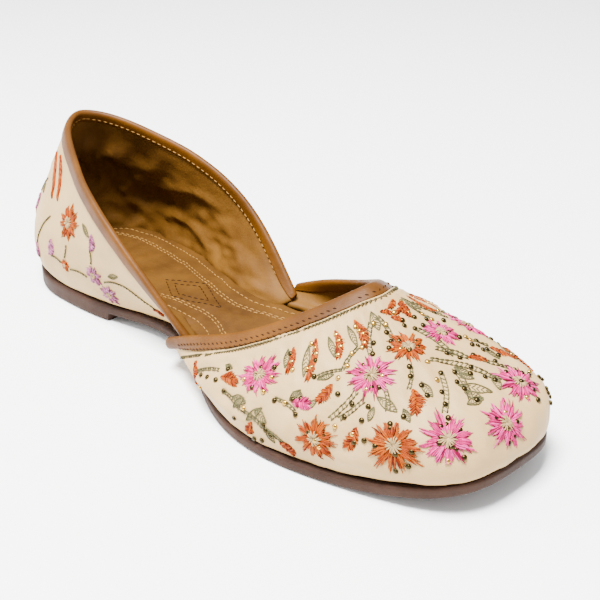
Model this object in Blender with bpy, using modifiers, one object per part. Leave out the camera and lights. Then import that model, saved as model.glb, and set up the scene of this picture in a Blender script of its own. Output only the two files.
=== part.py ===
"""Embroidered leather slip-on flat, with a covered vamp, a separate low quarter and a thin moulded sole.

The shoe stands on z = 0 with its toe towards +X. Its last is straight, so the half on +Y is modelled and
mirrored. A station is a distance from the back of the sole towards the toe.
"""

import math

import bmesh
import bpy
import numpy as np

# Sole, in metres
SHOE_LENGTH = 0.2487
HEEL_WIDTH = 0.0622
BREAST_WIDTH = 0.0559
WAIST_WIDTH = 0.0442
BALL_WIDTH = 0.0906
TOE_WIDTH = 0.0646
HEEL_ROUND = 0.0343
TOE_ROUND = 0.0439
SOLE_THICKNESS = 0.0042
HEEL_STEP = 0.0030
HEEL_LENGTH = 0.0687
BREAST_SLOPE = 0.0010
ARCH_LENGTH = 0.080
ARCH_RISE = 0.0018
ARCH_LEAD = 0.008
SPRING_LENGTH = 0.0523
TOE_SPRING = 0.0088
SOLE_EDGE = 0.0008

# Insole, walls and bindings
INSOLE_THICKNESS = 0.0024
INSOLE_EDGE = 0.0006
INSOLE_CLEARANCE = 0.0007
UPPER_WALL = 0.0018
SKIVED_EDGE = 0.0010
SKIVE_TAPER = 0.0020
SKIVE_SHARE = 0.1
FEATHER_INSET = 0.0006
HEEL_BULGE = 0.0024
BINDING_THICKNESS = 0.0006
BINDING_BAND = 0.0050
BINDING_INSIDE = 0.0040
BINDING_SHARE = 0.30
BINDING_GAP = 0.00045
FIT_GAP = 0.0003
LAP_CLEARANCE = 0.0008
QUARTER_TUCK = 0.0032

# Collar of the quarter
COLLAR_HEIGHT = 0.0690
COLLAR_LEAN = 0.0174
COLLAR_WIDTH = 0.0602
COLLAR_ROUND = 0.0416
QUARTER_FRONT = 0.1212
QUARTER_FOOT = 0.1170
QUARTER_FRONT_HEIGHT = 0.0112
OVERLAP_BLEND = 0.030

# Topline of the vamp
VAMP_CORNER = 0.1158
VAMP_FOOT = 0.1125
VAMP_CORNER_WIDTH = 0.0650
VAMP_CORNER_HEIGHT = 0.0122
THROAT_STATION = 0.1847
THROAT_HEIGHT = 0.0478
THROAT_ROUND = 0.0030

# Roundness of the outline's ends and of the collar's back, as powers of a superellipse
HEEL_POWER = 1.93
TOE_POWER = 3.36
COLLAR_POWER = 1.67

# How the vamp's ribs fan out, as a power: above 1 they meet the topline closer together near the throat
RIB_FAN = 1.8

# Facets
OUTLINE_SAMPLES = 4000
SOLE_STATIONS = 48
VAMP_RIBS = 34
QUARTER_RIBS = 30
WALL_ROWS = 9
EDGE_ROWS = 3
RIB_SAMPLES = 33
MERGE_DISTANCE = 0.00001

# Steps that a direction is measured over: a share of the way along an edge, and a distance down a wall
STEP_ALONG = 0.001
STEP_DOWN = 0.0002

# Sole outline: station as a share of SHOE_LENGTH, the width it follows, half width as a share of that
OUTLINE = (
    (0.000, HEEL_WIDTH, 0.485),
    (0.107, HEEL_WIDTH, 0.500),
    (0.276, BREAST_WIDTH, 0.500),
    (0.397, WAIST_WIDTH, 0.500),
    (0.497, BALL_WIDTH, 0.309),
    (0.598, BALL_WIDTH, 0.442),
    (0.710, BALL_WIDTH, 0.500),
    (0.928, TOE_WIDTH, 0.500),
    (1.000, TOE_WIDTH, 0.460),
)

# Collar: share of the way forward, half width as a share of COLLAR_WIDTH, share of the fall still to come
COLLAR = (
    (0.00, 0.388, 1.000),
    (0.25, 0.386, 0.855),
    (0.50, 0.481, 0.678),
    (0.75, 0.507, 0.411),
)

# Vamp topline: share of the way to the throat, share of the corner's half width, share of the climb
THROAT = (
    (0.000, 1.000, 0.000),
    (0.250, 0.990, 0.223),
    (0.500, 0.906, 0.413),
    (0.750, 0.618, 0.667),
    (0.875, 0.359, 0.824),
    (1.000, 0.000, 1.000),
)

# Vamp ribs from corner to toe: share of the feather line, degrees out from upright at the foot, fullness
# there, degrees down from level at the topline, fullness there (a fullness is a share of the rib's span).
# The row past the middle of the toe mirrors the one before it, and so does the quarter's past the back seam.
VAMP_SECTIONS = (
    (0.00, 80, 0.64, 90, 0.42),
    (0.15, 64, 0.54, 70, 0.38),
    (0.32, 26, 0.48, 48, 0.42),
    (0.55, 14, 0.42, 34, 0.50),
    (0.78, 28, 0.32, 28, 0.55),
    (1.00, 36, 0.26, 25, 0.56),
    (1.22, 28, 0.32, 28, 0.55),
)

# Quarter ribs from the back seam to the front edge, with the same columns
QUARTER_SECTIONS = (
    (-0.25, 30, 0.32, 74, 0.34),
    (0.00, 32, 0.30, 64, 0.34),
    (0.25, 30, 0.32, 74, 0.34),
    (0.55, 26, 0.34, 88, 0.34),
    (0.80, 26, 0.34, 98, 0.34),
    (1.00, 0, 0.42, 128, 0.34),
)


def smooth_curve(stations, values):
    """A natural cubic through the values, as a function of the station."""
    x, y = np.array(stations, float), np.array(values, float)
    h = np.diff(x)
    bend = np.eye(len(x))
    load = np.zeros(len(x))
    for i in range(1, len(x) - 1):
        bend[i, i - 1 : i + 2] = h[i - 1], 2 * (h[i - 1] + h[i]), h[i]
        load[i] = 6 * ((y[i + 1] - y[i]) / h[i] - (y[i] - y[i - 1]) / h[i - 1])
    m = np.linalg.solve(bend, load)

    def at(station):
        i = np.clip(np.searchsorted(x, station) - 1, 0, len(h) - 1)
        a, b = x[i + 1] - station, station - x[i]
        cubic = (m[i] * a**3 + m[i + 1] * b**3) / (6 * h[i])
        return cubic + (y[i] / h[i] - m[i] * h[i] / 6) * a + (y[i + 1] / h[i] - m[i + 1] * h[i] / 6) * b

    return at


def columns(table):
    """One smooth curve for each column after the first."""
    stations, *rest = zip(*table)
    return [smooth_curve(stations, column) for column in rest]


def ease(share):
    share = np.clip(share, 0.0, 1.0)
    return share * share * (3 - 2 * share)


def round_end(share, power):
    """Half width of a superellipse's quarter, growing from 0 at its tip to 1."""
    return (1 - np.clip(1 - share, 0, 1) ** power) ** (1 / power)


WIDTH_AT = smooth_curve(
    [station * SHOE_LENGTH for station, _, _ in OUTLINE],
    [width * share for _, width, share in OUTLINE],
)


def trace_outline():
    """The sole's half outline as columns arc, x, y and outward normal, from heel back to toe tip."""
    turn = np.linspace(0, math.pi, OUTLINE_SAMPLES)
    x = SHOE_LENGTH * (1 - np.cos(turn)) / 2
    y = WIDTH_AT(x) * round_end(x / HEEL_ROUND, HEEL_POWER)
    y *= round_end((SHOE_LENGTH - x) / TOE_ROUND, TOE_POWER)
    arc = np.concatenate([[0], np.cumsum(np.hypot(np.diff(x), np.diff(y)))])
    tangent_x, tangent_y = np.gradient(x, arc), np.gradient(y, arc)
    size = np.hypot(tangent_x, tangent_y)
    return arc, x, y, -tangent_y / size, tangent_x / size


ARC, EDGE_X, EDGE_Y, NORMAL_X, NORMAL_Y = trace_outline()
ARC_END = ARC[-1]


def arc_of(station):
    return float(np.interp(station, EDGE_X, ARC))


def edge_at(arc, inset):
    """Plan point a distance inside the sole's edge, and the outward direction there."""
    x, y = np.interp(arc, ARC, EDGE_X), np.interp(arc, ARC, EDGE_Y)
    out = np.array([np.interp(arc, ARC, NORMAL_X), np.interp(arc, ARC, NORMAL_Y)])
    out /= np.linalg.norm(out)
    if arc <= 0 or arc >= ARC_END:
        out = np.array([-1.0 if arc <= 0 else 1.0, 0.0])
    return np.array([x, y]) - inset * out, out


def arch(station):
    """Height that the heel and the arch add to the tread, and 0 from the ball forward."""
    past_breast = station - HEEL_LENGTH
    hump = (past_breast + ARCH_LEAD) / (ARCH_LENGTH + ARCH_LEAD)
    hump = math.sin(math.pi * min(max(hump, 0.0), 1.0)) ** 2
    return HEEL_STEP * (1 - ease(past_breast / ARCH_LENGTH)) + ARCH_RISE * hump


def spring(station):
    start = SHOE_LENGTH - SPRING_LENGTH
    return TOE_SPRING * (max(station - start, 0.0) / SPRING_LENGTH) ** 2


def sole_top(station):
    return SOLE_THICKNESS + arch(station) + spring(station)


def sole_bottom(station):
    if station <= HEEL_LENGTH:
        return 0.0
    rise = min((station - HEEL_LENGTH) / BREAST_SLOPE, 1.0)
    return rise * arch(station) + spring(station)


def place(x, y, z):
    """From stations to the object's frame, whose origin is under the middle of the whole shoe."""
    return (x - (SHOE_LENGTH - HEEL_BULGE) / 2, y, z)


def plain_material(name, colour, roughness):
    material = bpy.data.materials.new(name)
    material.use_nodes = True
    shader = material.node_tree.nodes["Principled BSDF"]
    shader.inputs["Base Color"].default_value = (*colour, 1)
    shader.inputs["Roughness"].default_value = roughness
    shader.inputs["Metallic"].default_value = 0.0
    return material


def half_surface(name, steps_along, steps_down, point_at, middle_rows, material):
    """A grid bent onto point_at(i, j), with j running outwards or down, then mirrored.

    The rows named in middle_rows lie on the shoe's middle plane.
    """
    bm = bmesh.new()
    bmesh.ops.create_grid(bm, x_segments=steps_along, y_segments=steps_down, size=0.5)
    mesh = bpy.data.meshes.new(name)
    full = bm.verts.layers.deform.verify()
    for vert in bm.verts:
        i = round((vert.co.x + 0.5) * steps_along)
        j = round((vert.co.y + 0.5) * steps_down)
        vert.co = place(*point_at(i, j))
        if i in middle_rows:
            vert.co.y = 0.0
        vert[full][0] = 0.0 if j < EDGE_ROWS else 1.0
    bmesh.ops.remove_doubles(bm, verts=bm.verts, dist=MERGE_DISTANCE)
    bmesh.ops.dissolve_degenerate(bm, edges=bm.edges, dist=MERGE_DISTANCE)
    bm.to_mesh(mesh)
    bm.free()
    mesh.shade_smooth()
    mesh.materials.append(material)
    piece = bpy.data.objects.new(name, mesh)
    SHOE.objects.link(piece)
    piece.vertex_groups.new(name="full thickness")
    mirror = piece.modifiers.new("Mirror", "MIRROR")
    mirror.use_axis = (False, True, False)
    mirror.merge_threshold = MERGE_DISTANCE
    return piece


def thicken(piece, thickness, edge_thickness):
    """Gives a sheet its thickness, equally to both sides, with its top rows thinner."""
    solid = piece.modifiers.new("Solidify", "SOLIDIFY")
    solid.thickness = thickness
    solid.offset = 0.0
    solid.use_quality_normals = True
    solid.vertex_group = "full thickness"
    solid.thickness_vertex_group = edge_thickness / thickness


def sole_arcs():
    """Arc positions of the sole's sections, with one at each end of the heel breast's slope."""
    even = np.linspace(0, ARC_END, SOLE_STATIONS)
    spacing = even[1]
    breast = [arc_of(HEEL_LENGTH), arc_of(HEEL_LENGTH + BREAST_SLOPE)]
    kept = [arc for arc in even if not breast[0] - spacing / 2 < arc < breast[1] + spacing / 2]
    return sorted(kept + breast)


def slab(name, inset_at, top_at, bottom_at, edge, material):
    """A flat piece of the sole's outline, with its edges taken off all round."""
    arcs = sole_arcs()

    def point_at(i, j):
        arc = arcs[i]
        station = float(np.interp(arc, ARC, EDGE_X))
        inset = inset_at(station)
        side, _ = edge_at(arc, inset)
        flat, _ = edge_at(arc, inset + edge)
        top, bottom = top_at(station), bottom_at(station)
        return (
            (flat[0], 0.0, top),
            (flat[0], flat[1], top),
            (side[0], side[1], top - edge),
            (side[0], side[1], bottom + edge),
            (flat[0], flat[1], bottom),
            (flat[0], 0.0, bottom),
        )[j]

    last = len(arcs) - 1
    return half_surface(name, last, 5, point_at, (0, last), material)


def blend_inset(station):
    """How far the quarter's foot moves in, to pass inside the vamp."""
    lap = (station - VAMP_FOOT + OVERLAP_BLEND) / OVERLAP_BLEND
    return (UPPER_WALL + LAP_CLEARANCE) * ease(lap)


def quarter_inset(station):
    return FEATHER_INSET + UPPER_WALL / 2 + blend_inset(station)


def insole_inset(station):
    """Inside the walls, also where the quarter passes inside the vamp."""
    past_quarter = (station - QUARTER_FOOT - 2 * UPPER_WALL) / OVERLAP_BLEND
    lap = blend_inset(station) * (1 - ease(past_quarter))
    return FEATHER_INSET + UPPER_WALL + INSOLE_CLEARANCE + lap


def build_outsole():
    rubber = plain_material("outsole", (0.18, 0.10, 0.07), 0.6)
    slab("outsole", lambda station: 0.0, sole_top, sole_bottom, SOLE_EDGE, rubber)


def build_insole():
    leather = plain_material("insole", (0.30, 0.13, 0.035), 0.55)

    def bottom(station):
        return sole_top(station) + FIT_GAP

    def top(station):
        return bottom(station) + INSOLE_THICKNESS

    slab("insole", insole_inset, top, bottom, INSOLE_EDGE, leather)


def bezier(start, after_start, before_end, end):
    t = np.linspace(0, 1, RIB_SAMPLES)[:, None]
    return (
        (1 - t) ** 3 * start
        + 3 * (1 - t) ** 2 * t * after_start
        + 3 * (1 - t) * t**2 * before_end
        + t**3 * end
    )


def make_rib(foot, foot_out, top, top_out, shape):
    """A wall's section from its topline down to its foot, as points and the distance down to each."""
    lean, foot_fullness, slope, top_fullness = shape
    lean, slope = math.radians(lean), math.radians(slope)
    span = np.linalg.norm(top - foot)
    rising = np.array([*(foot_out * math.sin(lean)), math.cos(lean)])
    falling = np.array([*(top_out * math.cos(slope)), -math.sin(slope)])
    points = bezier(top, top + falling * top_fullness * span, foot + rising * foot_fullness * span, foot)
    down = np.concatenate([[0], np.cumsum(np.linalg.norm(np.diff(points, axis=0), axis=1))])
    return points, down


def plan_normal(curve, share):
    """Direction away from the opening at a share of a topline, level."""
    ahead, behind = curve(min(share + STEP_ALONG, 1.0)), curve(max(share - STEP_ALONG, 0.0))
    tangent = ahead - behind
    out = np.array([-tangent[1], tangent[0]])
    return out / np.linalg.norm(out)


def foot_point(arc, inset, lean):
    """The foot of a wall: its tilted end stays clear of the sole."""
    plan, out = edge_at(arc, inset)
    station = float(np.interp(arc, ARC, EDGE_X))
    lift = FIT_GAP + UPPER_WALL / 2 * abs(math.sin(math.radians(lean)))
    return np.array([*plan, sole_top(station) + lift]), out


THROAT_HALF, THROAT_CLIMB = columns(THROAT)
VAMP_SHAPE = columns(VAMP_SECTIONS)
QUARTER_SHAPE = columns(QUARTER_SECTIONS)


def throat_point(share):
    """The vamp's topline, from its rear corner to the rounded point of the throat."""
    tip = THROAT_STATION + THROAT_ROUND
    back = (tip - VAMP_CORNER) * (1 - share)
    station = tip - math.hypot(back, THROAT_ROUND)
    climbed = (station - VAMP_CORNER) / (THROAT_STATION - VAMP_CORNER)
    half = VAMP_CORNER_WIDTH / 2 * THROAT_HALF(share)
    height = VAMP_CORNER_HEIGHT + (THROAT_HEIGHT - VAMP_CORNER_HEIGHT) * THROAT_CLIMB(climbed)
    return np.array([station, half, height])


def vamp_rib(share):
    shape = [column(share) for column in VAMP_SHAPE]
    start = arc_of(VAMP_FOOT)
    arc = start + (ARC_END - start) * share
    along = 1 - (1 - share) ** RIB_FAN
    foot, foot_out = foot_point(arc, FEATHER_INSET + UPPER_WALL / 2, shape[0])
    return make_rib(foot, foot_out, throat_point(along), plan_normal(throat_point, along), shape)


def inside_vamp(station, height):
    """Half width of a bound edge that just fits inside the vamp at this station and height."""
    start = arc_of(VAMP_FOOT)
    points, _ = vamp_rib((arc_of(station) - start) / (ARC_END - start))
    half = np.interp(height, points[::-1, 2], points[::-1, 1])
    return half - UPPER_WALL / 2 - SKIVED_EDGE / 2 - BINDING_THICKNESS - QUARTER_TUCK


COLLAR_HALF, COLLAR_FALL = columns(
    [(share, half * COLLAR_WIDTH, fall) for share, half, fall in COLLAR]
    + [(1.0, inside_vamp(QUARTER_FRONT, QUARTER_FRONT_HEIGHT), 0.0)]
)


def collar_point(share):
    """The quarter's topline, from the middle of the back to the front edge."""
    forward = (QUARTER_FRONT - COLLAR_LEAN) * share
    half = COLLAR_HALF(share) * round_end(forward / COLLAR_ROUND, COLLAR_POWER)
    height = QUARTER_FRONT_HEIGHT + (COLLAR_HEIGHT - QUARTER_FRONT_HEIGHT) * COLLAR_FALL(share)
    return np.array([COLLAR_LEAN + forward, half, height])


def quarter_rib(share):
    shape = [column(share) for column in QUARTER_SHAPE]
    arc = arc_of(QUARTER_FOOT) * share
    station = float(np.interp(arc, ARC, EDGE_X))
    forward = station / QUARTER_FOOT
    foot, foot_out = foot_point(arc, quarter_inset(station), shape[0])
    return make_rib(foot, foot_out, collar_point(forward), plan_normal(collar_point, forward), shape)


def wall_point(rib, share, down):
    """A point of a wall's middle surface, a distance down from its topline."""
    points, reached = rib(share)
    return np.array([np.interp(down, reached, points[:, axis]) for axis in range(3)])


def wall_normal(rib, share, down):
    ahead, behind = min(share + STEP_ALONG, 1), max(share - STEP_ALONG, 0)
    along = wall_point(rib, ahead, down) - wall_point(rib, behind, down)
    fall = wall_point(rib, share, down + STEP_DOWN) - wall_point(rib, share, max(down - STEP_DOWN, 0))
    normal = np.cross(along, fall)
    return normal / np.linalg.norm(normal)


def band_here(length, band):
    """Width of a binding's leg, narrower where the wall is too low for it."""
    return min(band, BINDING_SHARE * length)


def build_wall(name, rib, ribs, middle_rib, material):
    def point_at(i, j):
        share = i / ribs
        length = rib(share)[1][-1]
        band = band_here(length, BINDING_BAND)
        below = band + min(SKIVE_TAPER, SKIVE_SHARE * length)
        if j < EDGE_ROWS:
            return wall_point(rib, share, band * j / (EDGE_ROWS - 1))
        return wall_point(rib, share, below + (length - below) * (j - EDGE_ROWS) / (WALL_ROWS - EDGE_ROWS))

    wall = half_surface(name, ribs, WALL_ROWS, point_at, (middle_rib,), material)
    thicken(wall, UPPER_WALL, SKIVED_EDGE)


def build_binding(name, rib, ribs, middle_rib, material):
    """A strip of leather folded over a topline: an inner leg, a rounded rim and an outer leg."""
    off = SKIVED_EDGE / 2 + BINDING_GAP + BINDING_THICKNESS / 2

    def point_at(i, j):
        share = i / ribs
        length = rib(share)[1][-1]
        outer, inner = band_here(length, BINDING_BAND), band_here(length, BINDING_INSIDE)
        section = (
            (inner, -1), (inner / 2, -1), (0, -1), (0, -0.5),
            (0, 0.5), (0, 1), (outer / 2, 1), (outer, 1),
        )
        down, side = section[j]
        normal = wall_normal(rib, share, down)
        fall = wall_point(rib, share, STEP_DOWN) - wall_point(rib, share, 0)
        rim = fall / np.linalg.norm(fall) * math.sqrt(1 - side**2) * off
        return wall_point(rib, share, down) + normal * off * side - rim

    binding = half_surface(name, ribs, 7, point_at, (middle_rib,), material)
    thicken(binding, BINDING_THICKNESS, BINDING_THICKNESS)


for old in list(bpy.data.objects):
    bpy.data.objects.remove(old)

SHOE = bpy.data.collections.new("flat_shoe")
bpy.context.scene.collection.children.link(SHOE)

build_outsole()
build_insole()
CREAM = plain_material("cream_leather", (0.76, 0.66, 0.52), 0.5)
build_wall("vamp", vamp_rib, VAMP_RIBS, VAMP_RIBS, CREAM)
build_wall("quarter", quarter_rib, QUARTER_RIBS, 0, CREAM)
BROWN = plain_material("binding_leather", (0.40, 0.19, 0.06), 0.5)
build_binding("vamp_binding", vamp_rib, VAMP_RIBS, VAMP_RIBS, BROWN)
build_binding("quarter_binding", quarter_rib, QUARTER_RIBS, 0, BROWN)
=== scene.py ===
"""Dressed model of an embroidered slip-on flat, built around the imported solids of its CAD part.

Everything is in metres in the part's frame: the toe points to +X and the shoe stands on z = 0.
"""

import math
import random

import bmesh
import bpy
import numpy as np
from mathutils import Matrix, Vector, noise
from mathutils.bvhtree import BVHTree
from mathutils.kdtree import KDTree


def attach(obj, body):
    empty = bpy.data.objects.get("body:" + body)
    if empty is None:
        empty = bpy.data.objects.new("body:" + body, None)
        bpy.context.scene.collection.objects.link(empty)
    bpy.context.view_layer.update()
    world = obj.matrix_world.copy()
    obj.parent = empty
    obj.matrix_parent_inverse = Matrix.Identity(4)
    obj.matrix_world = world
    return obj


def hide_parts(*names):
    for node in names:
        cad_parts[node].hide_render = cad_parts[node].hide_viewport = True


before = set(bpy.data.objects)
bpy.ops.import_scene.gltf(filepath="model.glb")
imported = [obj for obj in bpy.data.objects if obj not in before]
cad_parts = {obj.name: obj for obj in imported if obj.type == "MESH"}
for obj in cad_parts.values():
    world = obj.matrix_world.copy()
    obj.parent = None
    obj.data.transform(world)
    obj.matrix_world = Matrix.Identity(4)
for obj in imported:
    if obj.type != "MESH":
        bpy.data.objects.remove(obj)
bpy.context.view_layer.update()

# Outsole
# A thin moulded rubber sole with a low heel block, cemented under the shoe. Its edge is dull brown with a
# fine pebble and a little dust in it, and its tread is coarser.
OUTSOLE_BROWN = (0.020, 0.0082, 0.0046)
OUTSOLE_DUST = (0.038, 0.0175, 0.0105)
OUTSOLE_CREASE = 0.55
MERGE = 0.00001
QUAD_BEND = math.radians(50)
QUAD_SKEW = math.radians(60)
CREASE_ANGLE = math.radians(25)
TREAD_FACES = -0.96
POLISH = 0.12
MOTTLE_FROM = 0.32
MOTTLE_TO = 0.66
SHINIER = 0.08
DULLER = 0.10


def rounded_copy(node, name, levels, crease=0.0):
    """The solid of a node as quads, rounded by subdivision. A crease keeps its sharper edges crisp."""
    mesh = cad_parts[node].data.copy()
    bm = bmesh.new()
    bm.from_mesh(mesh)
    bmesh.ops.remove_doubles(bm, verts=bm.verts, dist=MERGE)
    bmesh.ops.join_triangles(
        bm,
        faces=bm.faces,
        angle_face_threshold=QUAD_BEND,
        angle_shape_threshold=QUAD_SKEW,
    )
    if crease:
        sharpness = bm.edges.layers.float.new("crease_edge")
        for edge in bm.edges:
            if edge.calc_face_angle(0.0) > CREASE_ANGLE:
                edge[sharpness] = crease
    bm.to_mesh(mesh)
    bm.free()
    piece = bpy.data.objects.new(name, mesh)
    bpy.context.scene.collection.objects.link(piece)
    finer = piece.modifiers.new("Subdivision", "SUBSURF")
    finer.levels = levels
    finer.render_levels = levels
    depsgraph = bpy.context.evaluated_depsgraph_get()
    finished = bpy.data.meshes.new_from_object(piece.evaluated_get(depsgraph))
    piece.modifiers.clear()
    piece.data = finished
    finished.materials.clear()
    finished.shade_smooth()
    return piece


def grained(name, dark, light, roughness, patches, grain, grain_height, creases, crease_height):
    """A skin with a mottled colour, soft creases and a fine grain. Sizes are of one spot, in metres."""
    material = bpy.data.materials.new(name)
    material.use_nodes = True
    nodes, links = material.node_tree.nodes, material.node_tree.links
    shader = nodes["Principled BSDF"]
    shader.inputs["Specular IOR Level"].default_value = POLISH
    place = nodes.new("ShaderNodeTexCoord")

    def spots(size, detail, rough=0.5):
        field = nodes.new("ShaderNodeTexNoise")
        field.inputs["Scale"].default_value = 1 / size
        field.inputs["Detail"].default_value = detail
        field.inputs["Roughness"].default_value = rough
        links.new(place.outputs["Object"], field.inputs["Vector"])
        return field.outputs["Fac"]

    mottle = nodes.new("ShaderNodeValToRGB")
    mottle.color_ramp.elements[0].position = MOTTLE_FROM
    mottle.color_ramp.elements[0].color = (*dark, 1)
    mottle.color_ramp.elements[1].position = MOTTLE_TO
    mottle.color_ramp.elements[1].color = (*light, 1)
    links.new(spots(patches, detail=5, rough=0.6), mottle.inputs["Fac"])
    links.new(mottle.outputs["Color"], shader.inputs["Base Color"])

    dull = nodes.new("ShaderNodeMapRange")
    dull.inputs["To Min"].default_value = roughness - SHINIER
    dull.inputs["To Max"].default_value = roughness + DULLER
    links.new(spots(patches / 3, detail=3), dull.inputs["Value"])
    links.new(dull.outputs["Result"], shader.inputs["Roughness"])

    low = nodes.new("ShaderNodeBump")
    low.inputs["Distance"].default_value = crease_height
    links.new(spots(creases, detail=4, rough=0.55), low.inputs["Height"])
    fine = nodes.new("ShaderNodeBump")
    fine.inputs["Distance"].default_value = grain_height
    links.new(spots(grain, detail=2), fine.inputs["Height"])
    links.new(low.outputs["Normal"], fine.inputs["Normal"])
    links.new(fine.outputs["Normal"], shader.inputs["Normal"])
    return material


def finish_piece(piece, material, slot, *nodes):
    """Gives a piece its material, unless it has its own, and fixes it to the shoe."""
    if not piece.data.materials:
        piece.data.materials.append(material)
    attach(piece, "root")
    if nodes:
        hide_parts(*nodes)


RUBBER = grained(
    "sole_rubber",
    OUTSOLE_BROWN,
    OUTSOLE_DUST,
    roughness=0.62,
    patches=0.018,
    grain=0.0006,
    grain_height=0.00008,
    creases=0.004,
    crease_height=0.00015,
)
outsole = rounded_copy("outsole", "moulded_outsole", 2, OUTSOLE_CREASE)
outsole.data.materials.append(RUBBER)
TREAD = grained(
    "sole_tread",
    OUTSOLE_BROWN,
    OUTSOLE_DUST,
    roughness=0.7,
    patches=0.02,
    grain=0.0016,
    grain_height=0.0004,
    creases=0.004,
    crease_height=0.0001,
)
outsole.data.materials.append(TREAD)
for face in outsole.data.polygons:
    face.material_index = int(face.normal.z < TREAD_FACES)
finish_piece(outsole, RUBBER, "outsole", "outsole")

# Insole
# A sock of tan leather pasted over the insole board. It has puckered softly under its stitches, which
# follow in the last section of the shoe.
SOCK_DARK = (0.036, 0.0135, 0.0011)
SOCK_LIGHT = (0.074, 0.0300, 0.0032)
SOCK_CREASE = 0.6
PUCKER = 0.00055
PUCKER_SIZE = 0.0080
PUCKER_STRETCH = 2.2
# Roughness, step and octaves of the swell
SWELL = (0.6, 2.0, 3)
FOLD_PITCH = 0.7
FOLD_SHIFT = Vector((7.3, 1.1, 4.2))
FOLD_SHARPNESS = 4
HELD_RISE = 0.55
HELD_POWER = 1.5


def pucker(piece, height, size, share=1.0, held=None, reach=0.0):
    """Soft hills and hollows along each point's normal, with sharper folds where the noise turns over.

    Near the skin that holds it the leather lies flat, and elsewhere it only swells.
    """
    mesh = piece.data
    moved = []
    for vert in mesh.vertices:
        at = vert.co / size
        at.x /= PUCKER_STRETCH
        swell = noise.fractal(at, *SWELL)
        fold = 1 - abs(noise.noise(at * FOLD_PITCH + FOLD_SHIFT)) * FOLD_SHARPNESS
        rise = swell + share * max(fold, 0.0)
        if held:
            distance = held.find_nearest(vert.co)[3]
            rise = max(rise + HELD_RISE, 0.0) * min(distance / reach, 1.0) ** HELD_POWER
        moved.append(vert.co + vert.normal * height * rise)
    for vert, place in zip(mesh.vertices, moved):
        vert.co = place


SOCK = grained(
    "tan_sock_leather",
    SOCK_DARK,
    SOCK_LIGHT,
    roughness=0.60,
    patches=0.020,
    grain=0.0007,
    grain_height=0.00006,
    creases=0.005,
    crease_height=0.00035,
)
insole = rounded_copy("insole", "leather_sock", 3, SOCK_CREASE)
pucker(insole, PUCKER, PUCKER_SIZE)
finish_piece(insole, SOCK, "insole", "insole")

# Vamp
# Cream leather drawn over the last and lasted under the sole. It is smooth and semi-matte, and pulls in
# a little where the needlework holds it. Its lining is tan leather, slack in places.
CREAM_DARK = (0.325, 0.208, 0.082)
CREAM_LIGHT = (0.420, 0.275, 0.118)
TAN_DARK = (0.060, 0.0232, 0.0022)
TAN_LIGHT = (0.122, 0.0515, 0.0062)
SPINE_BACK = -0.090
SPINE_FRONT = 0.085
SPINE_HEIGHT = 0.018
LINING_GAP = 0.0003
LINING_SLACK = 0.0020
LINING_FOLDS = 0.0125
LINING_FOLD_SHARE = 0.9
LINING_HELD = 0.012
SLACK = 0.00042
SLACK_SIZE = 0.010


def faces_out(centre, normal):
    """Whether a face of a wall looks away from the foot."""
    spine = Vector((min(max(centre.x, SPINE_BACK), SPINE_FRONT), 0, SPINE_HEIGHT))
    return normal.dot(centre - spine) > 0


def whole_skin(piece):
    """A search tree of all faces."""
    return BVHTree.FromPolygons(
        [vert.co for vert in piece.data.vertices], [face.vertices[:] for face in piece.data.polygons]
    )


def outer_skin(piece):
    """A search tree of the faces that look outwards."""
    faces = [face.vertices[:] for face in piece.data.polygons if faces_out(face.center, face.normal)]
    return BVHTree.FromPolygons([vert.co for vert in piece.data.vertices], faces)


def line_inside(wall, name, edging):
    """A sheet of lining laid against the inner faces of a wall, held flat by the binding along its edge."""
    bm = bmesh.new()
    bm.from_mesh(wall.data)
    outer = [face for face in bm.faces if faces_out(face.calc_center_median(), face.normal)]
    bmesh.ops.delete(bm, geom=outer, context="FACES")
    bm.normal_update()
    for vert in bm.verts:
        vert.co += vert.normal * LINING_GAP
    mesh = bpy.data.meshes.new(name)
    bm.to_mesh(mesh)
    bm.free()
    mesh.shade_smooth()
    lining = bpy.data.objects.new(name, mesh)
    bpy.context.scene.collection.objects.link(lining)
    held = whole_skin(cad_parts[edging])
    pucker(lining, LINING_SLACK, LINING_FOLDS, LINING_FOLD_SHARE, held, LINING_HELD)
    finish_piece(lining, LINING, "insole")
    wall.data.materials.append(CREAM)
    wall.data.materials.append(LINING)
    for face in wall.data.polygons:
        face.material_index = 0 if faces_out(face.center, face.normal) else 1


CREAM = grained(
    "cream_upper_leather",
    CREAM_DARK,
    CREAM_LIGHT,
    roughness=0.46,
    patches=0.035,
    grain=0.0005,
    grain_height=0.00004,
    creases=0.006,
    crease_height=0.00028,
)
LINING = grained(
    "tan_lining_leather",
    TAN_DARK,
    TAN_LIGHT,
    roughness=0.64,
    patches=0.030,
    grain=0.0008,
    grain_height=0.00005,
    creases=0.006,
    crease_height=0.0004,
)
vamp = rounded_copy("vamp", "vamp_leather", 2)
line_inside(vamp, "vamp_lining", "vamp_binding")
pucker(vamp, SLACK, SLACK_SIZE, share=0.0)
finish_piece(vamp, CREAM, "cream_leather", "vamp")
VAMP_SKIN = outer_skin(vamp)

# Quarter
# The low back of the shoe: the same cream leather and tan lining, seamed at the heel and tucked inside
# the vamp at the waist.
quarter = rounded_copy("quarter", "quarter_leather", 2)
line_inside(quarter, "quarter_lining", "quarter_binding")
pucker(quarter, SLACK, SLACK_SIZE, share=0.0)
finish_piece(quarter, CREAM, "cream_leather", "quarter")
QUARTER_SKIN = outer_skin(quarter)

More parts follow.
